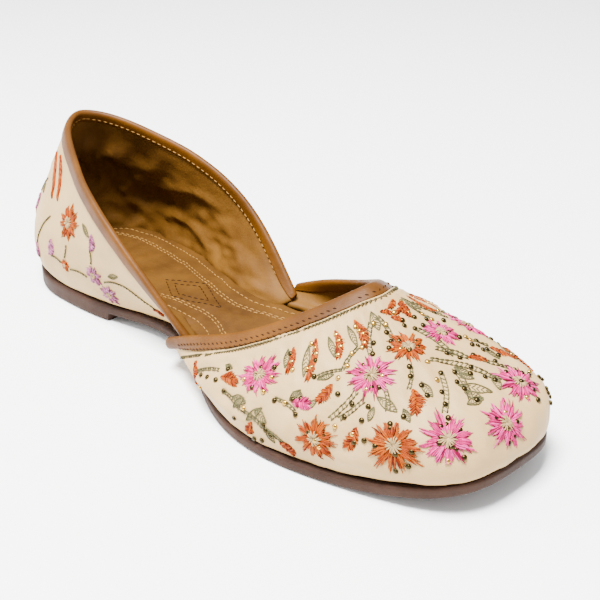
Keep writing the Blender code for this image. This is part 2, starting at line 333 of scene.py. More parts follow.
# Bindings
# A strip of brown leather is folded over each topline and stitched through. The vamp's has two rows of
# dark slanted stitches, the quarter's shows one pale row on the inside.
BROWN_DARK = (0.048, 0.0155, 0.0006)
BROWN_LIGHT = (0.088, 0.0300, 0.0015)
SEAM_DARK = (0.018, 0.006, 0.0012)
SEAM_PALE = (0.260, 0.130, 0.032)
MIDDLE = 0.12315
VAMP_CORNER = 0.1158
VAMP_CORNER_HALF = 0.0325
VAMP_CORNER_HEIGHT = 0.0122
THROAT_STATION = 0.1847
THROAT_HEIGHT = 0.0478
THROAT_ROUND = 0.0030
COLLAR_LEAN = 0.0174
COLLAR_HEIGHT = 0.0690
COLLAR_ROUND = 0.0416
COLLAR_POWER = 1.67
QUARTER_FRONT = 0.1212
QUARTER_FRONT_HEIGHT = 0.0112
BINDING_BAND = 0.0050
LINE_STEPS = 400
LINE_NUDGE = 0.002
STRIDE = 0.0006
SEAM_START_OUT = 0.0012
SEAM_START_UP = Vector((0, 0, 0.0008))
VAMP_SEAM_DEPTHS = (0.0024, 0.0043)
THREAD_ROUGHNESS = 0.50
THREAD_SHINE = 0.08
THREAD_SPOTS = 900
THREAD_SHADE = 0.62
SHADE_FROM = 0.30
SHADE_TO = 0.62
THREAD_RIBS = 0.00012

# Share of the way forward, share of the corner's half width, share of the climb
THROAT = (
    (0.000, 1.000, 0.000),
    (0.250, 0.990, 0.223),
    (0.500, 0.906, 0.413),
    (0.750, 0.618, 0.667),
    (0.875, 0.359, 0.824),
    (1.000, 0.000, 1.000),
)
# Share of the way forward, half width, share of the fall still to come
COLLAR = (
    (0.00, 0.02336, 1.000),
    (0.25, 0.02324, 0.855),
    (0.50, 0.02896, 0.678),
    (0.75, 0.03052, 0.411),
    (1.00, 0.02667, 0.000),
)


def smooth_curve(stations, values):
    """A natural cubic through the values, as a function of the station."""
    x, y = np.array(stations, float), np.array(values, float)
    h = np.diff(x)
    bend = np.eye(len(x))
    pull = np.zeros(len(x))
    for i in range(1, len(x) - 1):
        bend[i, i - 1 : i + 2] = h[i - 1], 2 * (h[i - 1] + h[i]), h[i]
        pull[i] = 6 * ((y[i + 1] - y[i]) / h[i] - (y[i] - y[i - 1]) / h[i - 1])
    m = np.linalg.solve(bend, pull)

    def at(station):
        i = int(np.clip(np.searchsorted(x, station) - 1, 0, len(h) - 1))
        a, b = x[i + 1] - station, station - x[i]
        cubic = (m[i] * a**3 + m[i + 1] * b**3) / (6 * h[i])
        return cubic + (y[i] / h[i] - m[i] * h[i] / 6) * a + (y[i + 1] / h[i] - m[i + 1] * h[i] / 6) * b

    return at


THROAT_HALF = smooth_curve([row[0] for row in THROAT], [row[1] for row in THROAT])
THROAT_CLIMB = smooth_curve([row[0] for row in THROAT], [row[2] for row in THROAT])
COLLAR_HALF = smooth_curve([row[0] for row in COLLAR], [row[1] for row in COLLAR])
COLLAR_FALL = smooth_curve([row[0] for row in COLLAR], [row[2] for row in COLLAR])


def throat_line(share):
    """The vamp's topline on the +Y side, from its rear corner to the throat."""
    tip = THROAT_STATION + THROAT_ROUND
    station = tip - math.hypot((tip - VAMP_CORNER) * (1 - share), THROAT_ROUND)
    climbed = (station - VAMP_CORNER) / (THROAT_STATION - VAMP_CORNER)
    height = VAMP_CORNER_HEIGHT + (THROAT_HEIGHT - VAMP_CORNER_HEIGHT) * THROAT_CLIMB(climbed)
    return Vector((station - MIDDLE, VAMP_CORNER_HALF * THROAT_HALF(share), height))


def collar_line(share):
    """The quarter's topline on the +Y side, from the back seam to its front edge."""
    forward = (QUARTER_FRONT - COLLAR_LEAN) * share
    rounding = (1 - max(1 - forward / COLLAR_ROUND, 0) ** COLLAR_POWER) ** (1 / COLLAR_POWER)
    height = QUARTER_FRONT_HEIGHT + (COLLAR_HEIGHT - QUARTER_FRONT_HEIGHT) * COLLAR_FALL(share)
    return Vector((COLLAR_LEAN + forward - MIDDLE, COLLAR_HALF(share) * rounding, height))


def evenly(line, spacing, first=0.0, last=1.0):
    """Points at even distances along a line, each with the level direction away from the opening."""
    shares = np.linspace(first, last, LINE_STEPS)
    points = [line(share) for share in shares]
    run = np.concatenate([[0], np.cumsum([(b - a).length for a, b in zip(points, points[1:])])])
    found = []
    for at in np.arange(spacing / 2, run[-1], spacing):
        share = float(np.interp(at, run, shares))
        ahead = line(min(share + LINE_NUDGE, 1.0)) - line(max(share - LINE_NUDGE, 0.0))
        found.append((line(share), Vector((-ahead.y, ahead.x, 0)).normalized(), ahead.normalized()))
    return found


def walk(skin, start, heading, distance):
    """Where a walk over a skin ends that keeps straight ahead: place, normal and heading there."""
    place, normal, _, _ = skin.find_nearest(start)
    strides = max(round(distance / STRIDE), 1)
    for _ in range(strides):
        heading = (heading - normal * heading.dot(normal)).normalized()
        place, normal, _, _ = skin.find_nearest(place + heading * distance / strides)
    return place, normal, heading


def flip(point):
    """The same place on the other side of the shoe."""
    return Vector((point.x, -point.y, point.z))


def thread_material(name, colour):
    """Twisted thread: fine ribs across it and a soft silky shine."""
    material = bpy.data.materials.new(name)
    material.use_nodes = True
    nodes, links = material.node_tree.nodes, material.node_tree.links
    shader = nodes["Principled BSDF"]
    shader.inputs["Roughness"].default_value = THREAD_ROUGHNESS
    shader.inputs["Specular IOR Level"].default_value = THREAD_SHINE
    place = nodes.new("ShaderNodeTexCoord")
    shade = nodes.new("ShaderNodeTexNoise")
    shade.inputs["Scale"].default_value = THREAD_SPOTS
    shade.inputs["Detail"].default_value = 3
    ramp = nodes.new("ShaderNodeValToRGB")
    ramp.color_ramp.elements[0].position = SHADE_FROM
    ramp.color_ramp.elements[0].color = (*[channel * THREAD_SHADE for channel in colour], 1)
    ramp.color_ramp.elements[1].position = SHADE_TO
    ramp.color_ramp.elements[1].color = (*colour, 1)
    ribs = nodes.new("ShaderNodeBump")
    ribs.inputs["Distance"].default_value = THREAD_RIBS
    links.new(place.outputs["Object"], shade.inputs["Vector"])
    links.new(shade.outputs["Fac"], ramp.inputs["Fac"])
    links.new(ramp.outputs["Color"], shader.inputs["Base Color"])
    links.new(shade.outputs["Fac"], ribs.inputs["Height"])
    links.new(ribs.outputs["Normal"], shader.inputs["Normal"])
    return material


def sew(name, threads, materials, slot):
    """Threads as round strands of one mesh. Each is its points, their radii and its material's index."""
    curve = bpy.data.curves.new(name, "CURVE")
    curve.dimensions = "3D"
    curve.bevel_depth = 1.0
    curve.bevel_resolution = 1
    curve.use_fill_caps = True
    for material in materials:
        curve.materials.append(material)
    for points, radii, colour in threads:
        spline = curve.splines.new("POLY")
        spline.points.add(len(points) - 1)
        for knot, point, radius in zip(spline.points, points, radii):
            knot.co = (*point, 1)
            knot.radius = radius
        spline.material_index = colour
    strand = bpy.data.objects.new(name, curve)
    bpy.context.scene.collection.objects.link(strand)
    depsgraph = bpy.context.evaluated_depsgraph_get()
    mesh = bpy.data.meshes.new_from_object(strand.evaluated_get(depsgraph))
    mesh.shade_smooth()
    bpy.data.objects.remove(strand)
    piece = bpy.data.objects.new(name, mesh)
    bpy.context.scene.collection.objects.link(piece)
    finish_piece(piece, materials[0], slot)
    return piece


def seam_row(skin, line, depth, spacing, length, slant, radius, colour, first=0.0, last=1.0, inwards=False):
    """A row of short stitches a distance down from a topline, on both sides of the shoe."""
    row = []
    for top, out, along in evenly(line, spacing, first, last):
        heading = -out if inwards else out
        start = top + heading * SEAM_START_OUT + SEAM_START_UP
        place, normal, down = walk(skin, start, heading, depth)
        reach = (along - normal * along.dot(normal)).normalized() * length / 2 + down * slant / 2
        points = []
        for end, lift in zip((place - reach, place, place + reach), (0, radius * 0.9, 0)):
            points.append(skin.find_nearest(end)[0] + normal * lift)
        radii = (radius * 0.7, radius, radius * 0.7)
        row.append((points, radii, colour))
        row.append(([flip(point) for point in points], radii, colour))
    return row


STRAP = grained(
    "brown_binding_leather",
    BROWN_DARK,
    BROWN_LIGHT,
    roughness=0.48,
    patches=0.022,
    grain=0.0006,
    grain_height=0.00005,
    creases=0.003,
    crease_height=0.00015,
)
vamp_binding = rounded_copy("vamp_binding", "vamp_bound_edge", 2)
finish_piece(vamp_binding, STRAP, "binding_leather", "vamp_binding")
quarter_binding = rounded_copy("quarter_binding", "quarter_bound_edge", 2)
finish_piece(quarter_binding, STRAP, "binding_leather", "quarter_binding")
VAMP_BINDING_SKIN = whole_skin(vamp_binding)
QUARTER_BINDING_SKIN = whole_skin(quarter_binding)

seams = []
for depth in VAMP_SEAM_DEPTHS:
    seams += seam_row(
        VAMP_BINDING_SKIN,
        throat_line,
        depth,
        spacing=0.0021,
        length=0.0011,
        slant=0.0007,
        radius=0.00019,
        colour=0,
        first=0.10,
    )
seams += seam_row(
    QUARTER_BINDING_SKIN,
    collar_line,
    depth=0.0036,
    spacing=0.0026,
    length=0.0015,
    slant=0.0,
    radius=0.00020,
    colour=1,
    last=0.93,
    inwards=True,
)
SEAM_THREADS = [
    thread_material("dark_brown_seam_thread", SEAM_DARK),
    thread_material("pale_tan_seam_thread", SEAM_PALE),
]
sew("binding_seams", seams, SEAM_THREADS, "binding_leather")

# Embroidery of the vamp
# Flowers of silky satin stitch, with many pointed petals, are sewn in pink and in orange. Slanted satin
# leaves and crescents lie between them, with outlined leaves and double stems in grey-gold thread. The
# leather swells a little where it isn't sewn.
# Each silk has a plain, a pale and a dark tone. The pale tone is a painted highlight and the dark tone is
# painted shade among the strands; the strands take them at random.
PINKS = ((0.390, 0.008, 0.100), (0.540, 0.045, 0.200), (0.160, 0.001, 0.028))
ORANGES = ((0.205, 0.027, 0.000), (0.290, 0.056, 0.000), (0.085, 0.0065, 0.000))
GREYS = ((0.080, 0.070, 0.027), (0.120, 0.105, 0.045), (0.040, 0.033, 0.012))
MAUVES = ((0.230, 0.060, 0.130), (0.340, 0.125, 0.215), (0.120, 0.022, 0.058))
CENTRE_THREAD = (0.330, 0.220, 0.095)
STRAND = 0.00023
# Along one satin stitch, its points and the share of its radius at each
STITCH_AT = (0, 0.3, 0.7, 1)
STITCH_RADII = (0.75, 1, 1, 0.35)
STITCH_START = 0.4
STITCH_END = 0.2
STEM_STITCH = 0.0015
STEM_FILL = 0.95
STEM_PUFF = 1.2
STEM_BOW = 0.07
LADDER_GAP = 0.0006
RUNG = (0.1, 0.8)
RUNG_HALF = 0.45
RUNG_THREAD = 0.7
QUILT_HEIGHT = 0.0013
QUILT_REACH = 0.0036
QUILT_LOW = 0.0085
QUILT_POWER = 1.5
QUILT_SPOKES = 10
QUILT_STEPS = 6
# Shares of a flower's radius, given in metres for a radius in mm
QUILT_RINGS = (0.0004, 0.0008)
PUFF_RANGE = (0.8, 1.2)
# Stitches of a petal, their reach and their puff, in the lower and the upper layer
PETAL_LAYERS = ((8, 0.80, 0.8), (9, 1.0, 2.2))
PETAL_WANDER = 0.16
PETAL_LENGTHS = (0.80, 1.04)
PETAL_TAPER = 0.36
PETAL_POINT = 1.4
PETAL_ROOTS = (0.16, 0.36)
ROOT_SPREAD = 1.1
TIP_SPREAD = 0.80
TIP_LENGTHS = (0.78, 1.10)
CENTRE_STITCHES = 16
CENTRE_WANDER = 0.3
CENTRE_HOLE = 0.06
CENTRE_REACH = (0.26, 0.36)
CENTRE_TWIST = 0.2
CENTRE_PUFF = 3.0
LEAF_PITCH = 2.2
LEAF_PUFFS = (0.9, 2.2)
LEAF_EDGES = (0.75, 1.2)
LEAF_BOW = 0.10
# Where along the leaf its width follows a half wave, and how blunt that wave is
LEAF_WAVE = (0.06, 0.86)
LEAF_BLUNT = 0.7
# Where its ribs leave the midrib and reach the edge
RIB_ROOT = 0.80
RIB_CROSS = 0.15
RIB_TIP = (0.12, 0.92)
OUTLINE_POINTS = 9
OUTLINE_LIFT = 0.8
OUTLINE_THREAD = 0.9
HERRINGBONES = 6
HERRINGBONE_SPAN = (0.10, 0.80)
HERRINGBONE_LEAN = 0.14
HERRINGBONE_REACH = 0.42
HERRINGBONE_THREAD = 0.65
COLOURS = {"pink": 0, "orange": 3, "grey": 6, "mauve": 9, "centre": 12}
draw = random.Random(11)

# Colour, place of the centre in mm, radius in mm, petals
FLOWERS = (
    ("pink", (49.5, -37.5, 24.5), 8.8, 12),
    ("pink", (84.5, -22.5, 33.5), 9.8, 12),
    ("orange", (86.0, -8.0, 38.5), 8.0, 11),
    ("pink", (87.0, 6.5, 38.5), 7.6, 12),
    ("orange", (78.0, -40.5, 16.0), 8.8, 11),
    ("orange", (102.5, -32.0, 22.0), 10.4, 12),
    ("pink", (115.0, -22.5, 25.5), 10.6, 13),
    ("pink", (121.5, -3.5, 25.5), 9.4, 12),
    ("pink", (114.0, 13.0, 29.0), 9.0, 12),
    ("pink", (49.5, 37.5, 24.5), 8.8, 12),
    ("pink", (84.0, 24.5, 33.0), 9.4, 12),
    ("orange", (78.0, 40.5, 16.0), 8.8, 11),
    ("orange", (102.5, 31.0, 22.5), 10.4, 12),
)
# Colour, both ends in mm, width in mm. These are on the near side and are repeated on the far side.
LEAVES = (
    ("orange", (54.5, -27.0, 33), (58.5, -34, 27.5), 2.6),
    ("orange", (59.5, -22, 36.3), (66.5, -33, 28), 2.9),
    ("orange", (63.5, -17.5, 39), (71.5, -24, 34.5), 2.9),
    ("orange", (66.5, -12.0, 42), (76.5, -17.5, 37.5), 3.1),
    ("orange", (75, -30, 29.5), (74, -36, 25), 4.6),
    ("orange", (90, -35, 23.5), (88.5, -38, 16), 4.6),
    ("orange", (97.5, -18.5, 33), (103.5, -24.5, 29), 5.0),
    ("orange", (54, -45, 12.5), (51, -45, 7.0), 3.4),
    ("orange", (65.5, -43.5, 10.0), (71, -42, 7.0), 3.8),
    ("orange", (34, -41, 18.5), (43, -41.5, 20), 4.2),
    ("orange", (17, -36, 15), (20, -38.5, 9.5), 3.0),
    ("orange", (71, -5, 44), (74, -2.5, 43.5), 2.4),
    ("orange", (74.5, -4, 43), (78, -1.5, 42), 2.4),
    ("pink", (66.5, -39, 22.5), (73, -37, 23.5), 4.2),
    ("grey", (53, -28, 32), (56.5, -33, 28.5), 2.0),
    ("grey", (59, -24.5, 34.5), (64.5, -32.5, 28.5), 2.4),
    ("grey", (63, -20, 37.5), (70, -24, 34.5), 2.0),
    ("grey", (66, -14.5, 40.5), (74, -18, 37.5), 2.0),
    ("grey", (90.5, -26.5, 30.5), (98.5, -26.5, 29), 3.0),
    ("grey", (97.5, -15, 34), (103.5, -16.5, 32), 2.6),
    ("grey", (108, -7, 32), (113, -4, 30), 3.0),
    ("grey", (43, -44, 16.5), (49.5, -44, 17), 3.0),
    ("grey", (54, -44, 16.5), (60, -44, 14.5), 3.0),
    ("grey", (64.5, -37, 25), (69, -37, 24.5), 2.6),
    ("grey", (33, -38, 21.5), (37, -38.5, 22), 2.0),
    ("grey", (91.5, -29, 28.5), (92.5, -32.5, 25.5), 2.0),
    ("grey", (99.5, -25, 30), (103.5, -26.5, 28), 2.0),
    ("grey", (65, -39, 23), (66.5, -35.5, 26), 2.2),
    ("grey", (60, -44.5, 13), (63.5, -44, 8.5), 2.6),
    ("grey", (69, -7, 44), (75.5, -10, 41), 3.0),
    ("grey", (69.5, -31.5, 29.5), (73.5, -28, 31.5), 2.0),
    ("grey", (44.5, -45, 13.5), (48, -43.5, 18), 2.4),
    ("grey", (51.5, -45.5, 12), (56.5, -43, 18), 2.4),
    ("grey", (72, -38, 22.5), (73.5, -35.5, 25.5), 2.2),
)
# Leaves on the ridge of the vamp, which aren't repeated
RIDGE_LEAVES = (
    ("orange", (99, 5.5, 35), (103, 10.5, 33), 3.0),
    ("orange", (71.5, 3, 44.5), (76, 3.5, 42.5), 2.5),
    ("grey", (102, -3, 34), (106, 0, 32.5), 2.5),
    ("grey", (105, -6.5, 32.5), (112.5, 1, 30.5), 3.4),
    ("grey", (111.5, -10, 30.5), (112.5, -3.5, 30.5), 2.8),
    ("grey", (99.5, -2, 34.5), (105, 0.5, 33), 2.2),
    ("orange", (72.5, 5.5, 43.5), (74.5, -2, 43.3), 2.6),
    ("orange", (69.5, 2.5, 45), (72, -2, 44), 2.2),
)
# Both ends in mm, gap between the two lines of the stem in mm
STEMS = (
    ((59.5, -40.5, 22), (69, -40, 21), 0.9),
    ((83.5, -28, 30), (80.5, -37, 22.5), 1.5),
    ((87.5, -29, 29), (83.5, -36, 23.5), 1.5),
    ((80, -18, 36.5), (71.5, -9.5, 42.5), 1.5),
    ((75, -25.5, 32.5), (74.5, -18, 37.5), 1.0),
    ((69, -30.5, 29.5), (75, -25.5, 32.5), 1.0),
    ((91.5, -13, 36), (96.5, -19.5, 32.5), 1.0),
    ((99, -7.5, 34.5), (109.5, -18, 30), 1.5),
    ((91, -23.5, 32), (96, -28, 28.5), 1.2),
    ((17.5, -39.5, 12), (31.5, -39.5, 19.5), 1.0),
    ((38.5, -43.5, 16), (46.5, -45, 14.5), 1.0),
    ((46.5, -45, 14.5), (59, -44.5, 12.5), 1.0),
    ((59, -44.5, 12.5), (69.5, -43, 9), 1.0),
    ((71.5, -7, 43.5), (80, -9, 40), 1.2),
)
RIDGE_STEMS = (
    ((91, -1, 37.5), (99.5, 5.5, 34.5), 1.5),
    ((93.5, -6.5, 36.5), (111, 7.5, 30.5), 1.5),
    ((100, -2.5, 34.5), (111, -7.5, 31), 1.5),
    ((82.5, 0, 40.5), (96.5, 2, 35.5), 1.5),
)


def mm(point):
    """A place in mm, as metres."""
    return Vector(point) / 1000


def quilt(piece, held, edging):
    """The leather swells between the stitched places, and is pulled flat at them and by the binding."""
    tree = KDTree(len(held))
    for i, place in enumerate(held):
        tree.insert(place, i)
    tree.balance()
    swollen = []
    for vert in piece.data.vertices:
        near = min(tree.find(vert.co)[2], edging.find_nearest(vert.co)[3], vert.co.z - QUILT_LOW)
        share = min(max(near, 0.0) / QUILT_REACH, 1.0) if faces_out(vert.co, vert.normal) else 0.0
        swollen.append(vert.co + vert.normal * QUILT_HEIGHT * share**QUILT_POWER)
    for vert, place in zip(piece.data.vertices, swollen):
        vert.co = place


def laid(skin, points, lifts):
    """Points dropped onto a skin and lifted off it along its normal."""
    found = []
    for point, lift in zip(points, lifts):
        place, normal, _, _ = skin.find_nearest(point)
        found.append(place + normal * lift)
    return found


def axes_at(skin, point):
    """Place on the skin, and two directions in its plane, the first towards the toe."""
    place, normal, _, _ = skin.find_nearest(point)
    ahead = (Vector((1, 0, 0)) - normal * normal.x).normalized()
    return place, ahead, normal.cross(ahead)


def strand(skin, start, end, colour, radius, puff):
    """One satin stitch, raised in its middle."""
    points = [start.lerp(end, share) for share in STITCH_AT]
    lifts = [radius * lift for lift in (STITCH_START, puff, puff, STITCH_END)]
    radii = [radius * share for share in STITCH_RADII]
    return laid(skin, points, lifts), radii, colour


def flower(skin, colour, point, radius, petals):
    """Pointed petals of fanned satin stitches round a pale centre."""
    centre, ahead, aside = axes_at(skin, point)
    base = COLOURS[colour]
    turn = draw.uniform(0, 1)
    made = []

    def spot(angle, distance):
        return centre + ahead * math.cos(angle) * distance + aside * math.sin(angle) * distance

    for petal in range(petals):
        middle = turn + math.tau * (petal + draw.uniform(-PETAL_WANDER, PETAL_WANDER)) / petals
        length = radius * draw.uniform(*PETAL_LENGTHS)
        half = math.pi / petals
        for count, reach, puff in PETAL_LAYERS:
            for i in range(count):
                side = 2 * i / (count - 1) - 1
                taper = 1 - PETAL_TAPER * abs(side) ** PETAL_POINT
                tip = length * reach * taper * draw.uniform(*TIP_LENGTHS)
                root = radius * draw.uniform(*PETAL_ROOTS)
                # Half the strands take the plain tone, a third the pale painted highlight and a sixth the
                # dark painted shade.
                shade = base + draw.choice((0, 0, 0, 1, 1, 2))
                start = spot(middle + side * half * ROOT_SPREAD, root)
                lean = side * TIP_SPREAD + draw.uniform(-PETAL_WANDER, PETAL_WANDER)
                end = spot(middle + lean * half, tip)
                made.append(strand(skin, start, end, shade, STRAND, puff * draw.uniform(*PUFF_RANGE)))
    for i in range(CENTRE_STITCHES):
        angle = math.tau * (i + draw.uniform(-CENTRE_WANDER, CENTRE_WANDER)) / CENTRE_STITCHES
        start = spot(angle, radius * CENTRE_HOLE)
        end = spot(angle + CENTRE_TWIST, radius * draw.uniform(*CENTRE_REACH))
        made.append(strand(skin, start, end, COLOURS["centre"], STRAND, CENTRE_PUFF))
    return made


def leaf(skin, colour, start, end, width, bow):
    """A pointed leaf of satin stitches that slant forward from its midrib to a jagged edge."""
    _, normal, _, _ = skin.find_nearest((start + end) / 2)
    along = end - start
    aside = normal.cross(along.normalized())
    count = max(round(along.length / (STRAND * LEAF_PITCH)), 4)

    def rib(share, out):
        return start + along * share + aside * (bow * along.length * math.sin(math.pi * share) + out)

    made = []
    for puff in LEAF_PUFFS:
        for side in (-1, 1):
            for i in range(count):
                share = (i + draw.uniform(0, 1)) / count
                swell = math.sin(math.pi * (LEAF_WAVE[0] + LEAF_WAVE[1] * share)) ** LEAF_BLUNT
                half = width / 2 * swell * draw.uniform(*LEAF_EDGES)
                low = rib(share * RIB_ROOT, -side * half * RIB_CROSS)
                high = rib(RIB_TIP[0] + share * RIB_TIP[1], side * half)
                # Half the strands take the plain tone, a quarter the pale painted highlight and a quarter
                # the dark painted shade.
                shade = COLOURS[colour] + draw.choice((0, 0, 1, 2))
                made.append(strand(skin, low, high, shade, STRAND, puff * draw.uniform(*PUFF_RANGE)))
    return made


def outline_leaf(skin, start, end, width):
    """A leaf in outline with herringbone stitches inside."""
    _, normal, _, _ = skin.find_nearest((start + end) / 2)
    along = end - start
    aside = normal.cross(along.normalized())
    made = []
    for side in (-1, 1):
        shares = np.linspace(0, 1, OUTLINE_POINTS)
        edge = [start + along * s + aside * side * width / 2 * math.sin(math.pi * s) for s in shares]
        edge = laid(skin, edge, [STRAND * OUTLINE_LIFT] * OUTLINE_POINTS)
        made.append((edge, [STRAND * OUTLINE_THREAD] * OUTLINE_POINTS, COLOURS["grey"]))
        for share in np.linspace(*HERRINGBONE_SPAN, HERRINGBONES):
            spine = start + along * share
            out = aside * side * width * HERRINGBONE_REACH * math.sin(math.pi * share)
            tip = spine + along * HERRINGBONE_LEAN + out
            # The herringbone takes the pale grey, a painted highlight.
            made.append(strand(skin, spine, tip, COLOURS["grey"] + 1, STRAND * HERRINGBONE_THREAD, 1.0))
    return made


def stem(skin, start, end, gap, bow):
    """Two fine lines of stem stitch side by side, with a slanted stitch between them at each step."""
    _, normal, _, _ = skin.find_nearest((start + end) / 2)
    along = end - start
    aside = normal.cross(along).normalized()
    count = max(round(along.length / STEM_STITCH), 3)

    def spot(share, side):
        return start + along * share + aside * (gap * side + bow * along.length * math.sin(math.pi * share))

    made = []
    for i in range(count):
        for side in (-0.5, 0.5):
            # Two thirds of the stitches take the plain grey, and a third take the dark painted shade.
            shade = COLOURS["grey"] + draw.choice((0, 0, 2))
            low, high = spot(i / count, side), spot((i + STEM_FILL) / count, side)
            made.append(strand(skin, low, high, shade, STRAND, STEM_PUFF))
        if gap > LADDER_GAP:
            low, high = spot((i + RUNG[0]) / count, -RUNG_HALF), spot((i + RUNG[1]) / count, RUNG_HALF)
            # The rung takes the pale grey, a painted highlight.
            made.append(strand(skin, low, high, COLOURS["grey"] + 1, STRAND * RUNG_THREAD, 1.0))
    return made


held = []
for _, place, radius, _ in FLOWERS:
    centre, ahead, aside = axes_at(VAMP_SKIN, mm(place))
    for angle in np.linspace(0, math.tau, QUILT_SPOKES):
        spoke = ahead * math.cos(angle) + aside * math.sin(angle)
        held += [centre + spoke * radius * part for part in QUILT_RINGS]
for table, repeated in ((LEAVES, True), (STEMS, True), (RIDGE_LEAVES, False), (RIDGE_STEMS, False)):
    for row in table:
        start, end = [mm(point) for point in row if isinstance(point, tuple)]
        for share in np.linspace(0, 1, QUILT_STEPS):
            place = start.lerp(end, share)
            held += [place, flip(place)] if repeated else [place]
quilt(vamp, held, VAMP_BINDING_SKIN)
VAMP_SKIN = outer_skin(vamp)

blooms = []
for colour, place, radius, petals in FLOWERS:
    blooms += flower(VAMP_SKIN, colour, mm(place), radius / 1000, petals)
needlework = []
for side in (1, -1):
    turned = Vector((1, side, 1))
    for colour, start, end, width in LEAVES + (RIDGE_LEAVES if side == 1 else ()):
        start, end = mm(start) * turned, mm(end) * turned
        if colour == "grey":
            needlework += outline_leaf(VAMP_SKIN, start, end, width / 1000)
        else:
            needlework += leaf(VAMP_SKIN, colour, start, end, width / 1000, LEAF_BOW * side)
    for start, end, gap in STEMS + (RIDGE_STEMS if side == 1 else ()):
        needlework += stem(VAMP_SKIN, mm(start) * turned, mm(end) * turned, gap / 1000, STEM_BOW * side)

THREADS = []
# The second material of each family is the pale painted highlight, and the third is the dark painted shade.
for family, shades in (("pink", PINKS), ("orange", ORANGES), ("grey_gold", GREYS), ("mauve", MAUVES)):
    for i, shade in enumerate(shades):
        THREADS.append(thread_material(f"{family}_silk_{i}", shade))
THREADS.append(thread_material("pale_gold_silk", CENTRE_THREAD))
sew("vamp_flowers", blooms, THREADS, "cream_leather")
sew("vamp_leaves_and_stems", needlework, THREADS, "cream_leather")

# Edge trim of the vamp
# A thin turned lip of cream leather shows below the binding, and a row of slanted whip stitches in
# grey-gold thread holds it down.
LIP_RADIUS = 0.00045
LIP_SPACING = 0.0015
LIP_DEPTH = 0.0009
WHIP_SPACING = 0.00115
WHIP_RADIUS = 0.00030
WHIP_TOP = 0.0012
WHIP_FOOT = 0.0023
WHIP_SLANT = 0.00055
WHIP_CREST = 2.6
GREY_GOLD = (0.062, 0.050, 0.020)

lip = []
for top, out, _ in evenly(throat_line, LIP_SPACING):
    place, normal, _ = walk(VAMP_SKIN, top, out, BINDING_BAND + LIP_DEPTH)
    lip.append(place + normal * LIP_RADIUS * 0.5)
round_lip = lip + [flip(point) for point in reversed(lip)]
sew("turned_lip", [(round_lip, [LIP_RADIUS] * len(round_lip), 0)], [CREAM], "cream_leather")

whips = []
for top, out, along in evenly(throat_line, WHIP_SPACING):
    high, normal, _ = walk(VAMP_SKIN, top, out, BINDING_BAND + WHIP_TOP)
    low = walk(VAMP_SKIN, top, out, BINDING_BAND + WHIP_FOOT)[0]
    lift = normal * WHIP_RADIUS * 0.5
    start, end = high + along * WHIP_SLANT + lift, low - along * WHIP_SLANT + lift
    crest = VAMP_SKIN.find_nearest((start + end) / 2)[0] + normal * WHIP_RADIUS * WHIP_CREST
    points = [start, crest, end]
    radii = (WHIP_RADIUS * 0.8, WHIP_RADIUS, WHIP_RADIUS * 0.6)
    whips.append((points, radii, 0))
    whips.append(([flip(point) for point in points], radii, 0))
GOLD_THREAD = thread_material("grey_gold_thread", GREY_GOLD)
sew("whip_stitches", whips, [GOLD_THREAD], "cream_leather")

# Studs
# Small domed metal studs are pressed through the vamp along the stems, the crescents and round the
# flowers: most are aged bronze, and some are bright gold.
STUD_RADIUS = 0.00092
STUD_HEIGHT = 0.00052
STUD_LIFT = 1.6
BRONZE = (0.036, 0.026, 0.009)
BRONZE_ROUGHNESS = 0.30
GOLD = (0.420, 0.250, 0.045)
GOLD_ROUGHNESS = 0.22
BRIGHT_SHARE = 0.12
# Those on the crescents by the topline are mostly gold.
GOLD_BACK = 53.0
GOLD_FRONT = 76.5
GOLD_LOW = 28.0
REPEATED_FROM = -12.0

